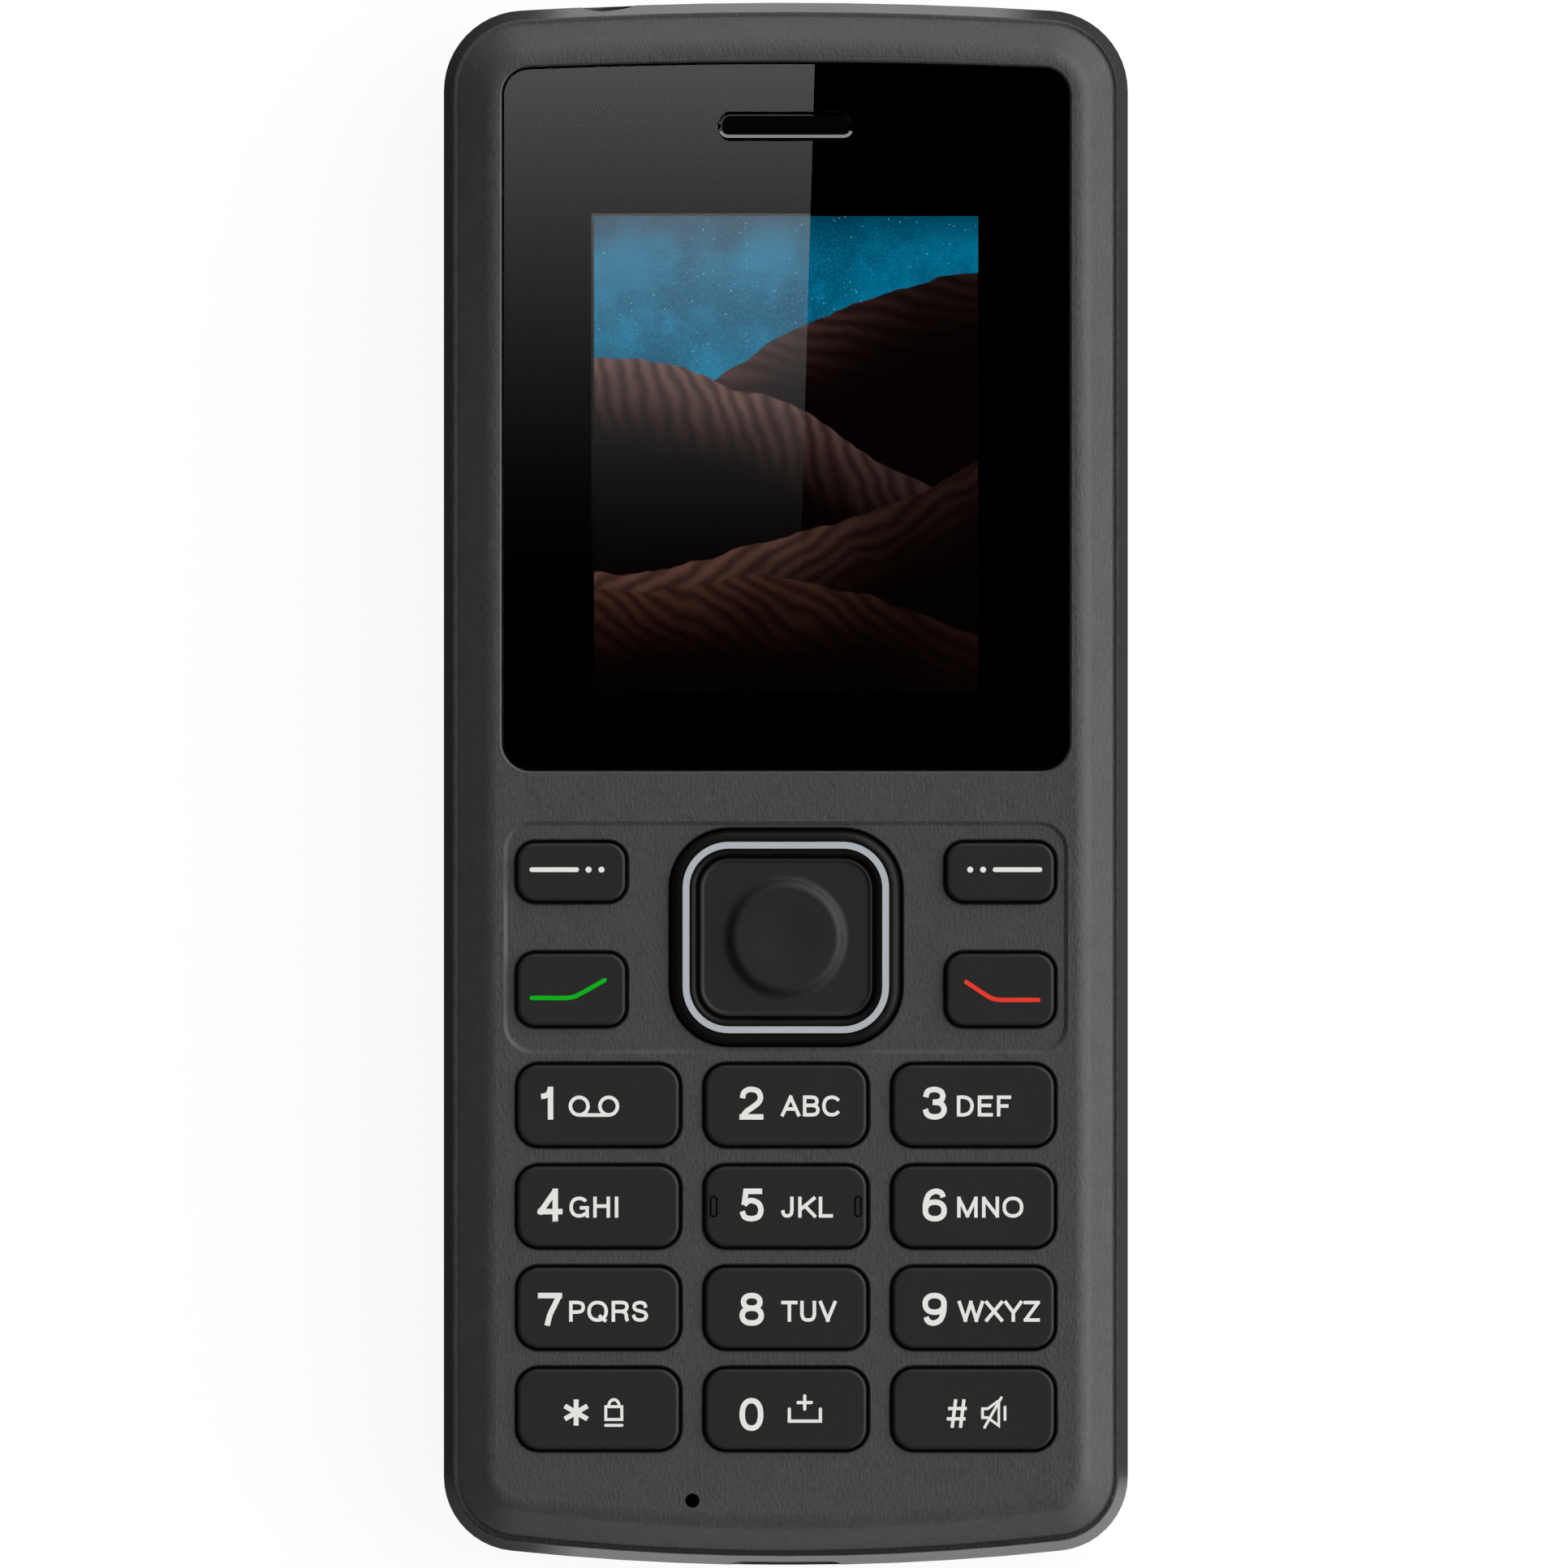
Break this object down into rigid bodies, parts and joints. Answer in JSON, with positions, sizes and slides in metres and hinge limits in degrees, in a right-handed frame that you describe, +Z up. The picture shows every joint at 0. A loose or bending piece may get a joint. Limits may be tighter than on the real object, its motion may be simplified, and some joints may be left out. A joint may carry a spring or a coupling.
{
  "type": "feature phone",
  "caption": "Candybar feature phone with a small colour display, number keypad, rocking navigation ring, and a battery behind a lift-off back cover.",
  "frame": {"origin": "middle of the flat back of the battery cover, on the surface the phone lies on", "axes": "+X across the phone, +Y along it towards the earpiece, +Z up out of the screen"},
  "size_m": [0.05, 0.1142, 0.0138],
  "materials": {
    "housing": "fine grained satin",
    "rear_shell": "fine grained satin",
    "cover": "fine grained matte",
    "lens": "clear polished acrylic",
    "mask": "printed black",
    "mesh": "black woven mesh",
    "battery_wrap": "printed wrap",
    "battery_end": "matte",
    "gold": "gold plated",
    "contact_block": "matte",
    "bezel": "gloss",
    "camera_glass": "polished",
    "torch_glass": "frosted",
    "led": "resin",
    "camera_body": "matte",
    "nav_gloss": "gloss",
    "trim": "satin silver",
    "inner_plastic": "matte",
    "keycap": "fine satin",
    "silicone": "matte",
    "film": "clear film",
    "board": "solder mask",
    "display": "lit display",
    "foam": "foam",
    "flex": "amber film",
    "speaker": "matte",
    "jack": "matte",
    "inner_metal": "tinned",
    "screw": "black zinc",
    "shield": "tinned"
  },
  "bodies": {
    "phone": {"front_housing": "housing", "rear_housing": "rear_shell", "display_lens": "lens", "lens_mask": "mask", "earpiece_mesh": "mesh", "battery_contacts": "contact_block", "camera_bezel": "bezel", "camera_window": "camera_glass", "torch_lens": "torch_glass", "torch_led": "led", "camera_module": "camera_body", "camera_socket": "inner_metal", "keymat": "silicone", "dome_sheet": "film", "main_board": "board", "display_frame": "inner_plastic", "display_panel": "display", "display_gasket": "foam", "display_flex": "flex", "earpiece_receiver": "inner_metal", "microphone": "inner_metal", "microphone_boot": "silicone", "loudspeaker": "speaker", "loudspeaker_gasket": "foam", "vibration_motor": "inner_metal", "headphone_jack": "jack", "usb_socket": "inner_metal", "antenna": "gold", "housing_screws": "screw", "left_sim_socket": "inner_metal", "right_sim_socket": "inner_metal", "card_socket": "inner_metal", "baseband_shield": "shield", "radio_shield": "shield"},
    "battery_cover": {"battery_cover": "cover"},
    "battery": {"battery": "battery_wrap", "battery_cap": "battery_end", "battery_terminals": "gold"},
    "nav_pivot": {"nav_pivot_ring": "inner_plastic"},
    "nav_ring": {"nav_ring": "nav_gloss", "nav_trim": "trim"},
    "select_key": {"select_key": "keycap"},
    "key_1": {"key_1": "keycap"},
    "key_2": {"key_2": "keycap"},
    "key_3": {"key_3": "keycap"},
    "key_4": {"key_4": "keycap"},
    "key_5": {"key_5": "keycap"},
    "key_6": {"key_6": "keycap"},
    "key_7": {"key_7": "keycap"},
    "key_8": {"key_8": "keycap"},
    "key_9": {"key_9": "keycap"},
    "key_star": {"key_star": "keycap"},
    "key_0": {"key_0": "keycap"},
    "key_hash": {"key_hash": "keycap"},
    "left_soft_key": {"left_soft_key": "keycap"},
    "right_soft_key": {"right_soft_key": "keycap"},
    "call_key": {"call_key": "keycap"},
    "end_key": {"end_key": "keycap"}
  },
  "joints": [
    {"name": "key_1_press", "type": "slide", "parent": "phone", "child": "key_1", "axis": [0, 0, -1], "range_m": [0, 0.0003], "stiffness_N_per_m": 500},
    {"name": "key_2_press", "type": "slide", "parent": "phone", "child": "key_2", "axis": [0, 0, -1], "range_m": [0, 0.0003], "stiffness_N_per_m": 500},
    {"name": "key_3_press", "type": "slide", "parent": "phone", "child": "key_3", "axis": [0, 0, -1], "range_m": [0, 0.0003], "stiffness_N_per_m": 500},
    {"name": "key_4_press", "type": "slide", "parent": "phone", "child": "key_4", "axis": [0, 0, -1], "range_m": [0, 0.0003], "stiffness_N_per_m": 500},
    {"name": "key_5_press", "type": "slide", "parent": "phone", "child": "key_5", "axis": [0, 0, -1], "range_m": [0, 0.0003], "stiffness_N_per_m": 500},
    {"name": "key_6_press", "type": "slide", "parent": "phone", "child": "key_6", "axis": [0, 0, -1], "range_m": [0, 0.0003], "stiffness_N_per_m": 500},
    {"name": "key_7_press", "type": "slide", "parent": "phone", "child": "key_7", "axis": [0, 0, -1], "range_m": [0, 0.0003], "stiffness_N_per_m": 500},
    {"name": "key_8_press", "type": "slide", "parent": "phone", "child": "key_8", "axis": [0, 0, -1], "range_m": [0, 0.0003], "stiffness_N_per_m": 500},
    {"name": "key_9_press", "type": "slide", "parent": "phone", "child": "key_9", "axis": [0, 0, -1], "range_m": [0, 0.0003], "stiffness_N_per_m": 500},
    {"name": "key_star_press", "type": "slide", "parent": "phone", "child": "key_star", "axis": [0, 0, -1], "range_m": [0, 0.0003], "stiffness_N_per_m": 500},
    {"name": "key_0_press", "type": "slide", "parent": "phone", "child": "key_0", "axis": [0, 0, -1], "range_m": [0, 0.0003], "stiffness_N_per_m": 500},
    {"name": "key_hash_press", "type": "slide", "parent": "phone", "child": "key_hash", "axis": [0, 0, -1], "range_m": [0, 0.0003], "stiffness_N_per_m": 500},
    {"name": "left_soft_key_press", "type": "slide", "parent": "phone", "child": "left_soft_key", "axis": [0, 0, -1], "range_m": [0, 0.0003], "stiffness_N_per_m": 500},
    {"name": "right_soft_key_press", "type": "slide", "parent": "phone", "child": "right_soft_key", "axis": [0, 0, -1], "range_m": [0, 0.0003], "stiffness_N_per_m": 500},
    {"name": "call_key_press", "type": "slide", "parent": "phone", "child": "call_key", "axis": [0, 0, -1], "range_m": [0, 0.0003], "stiffness_N_per_m": 500},
    {"name": "end_key_press", "type": "slide", "parent": "phone", "child": "end_key", "axis": [0, 0, -1], "range_m": [0, 0.0003], "stiffness_N_per_m": 500},
    {"name": "select_key_press", "type": "slide", "parent": "phone", "child": "select_key", "axis": [0, 0, -1], "range_m": [0, 0.0003], "stiffness_N_per_m": 500},
    {"name": "nav_up_down", "type": "hinge", "parent": "phone", "child": "nav_pivot", "pos_m": [0, -0.0112, 0.00985], "axis": [1, 0, 0], "range_deg": [-1.8, 1.8], "stiffness_Nm_per_rad": 0.1},
    {"name": "nav_left_right", "type": "hinge", "parent": "nav_pivot", "child": "nav_ring", "pos_m": [0, -0.0112, 0.0106], "axis": [0, 1, 0], "range_deg": [-1.8, 1.8], "stiffness_Nm_per_rad": 0.1},
    {"name": "battery_cover_off", "type": "slide", "parent": "phone", "child": "battery_cover", "axis": [0, 0, -1], "range_m": [0, 0.03]},
    {"name": "battery_out", "type": "slide", "parent": "phone", "child": "battery", "axis": [0, 0, -1], "range_m": [0, 0.0135]}
  ],
  "couplings": [
    {"joint": "battery_out", "follows": "battery_cover_off", "ratio": 0.45}
  ]
}
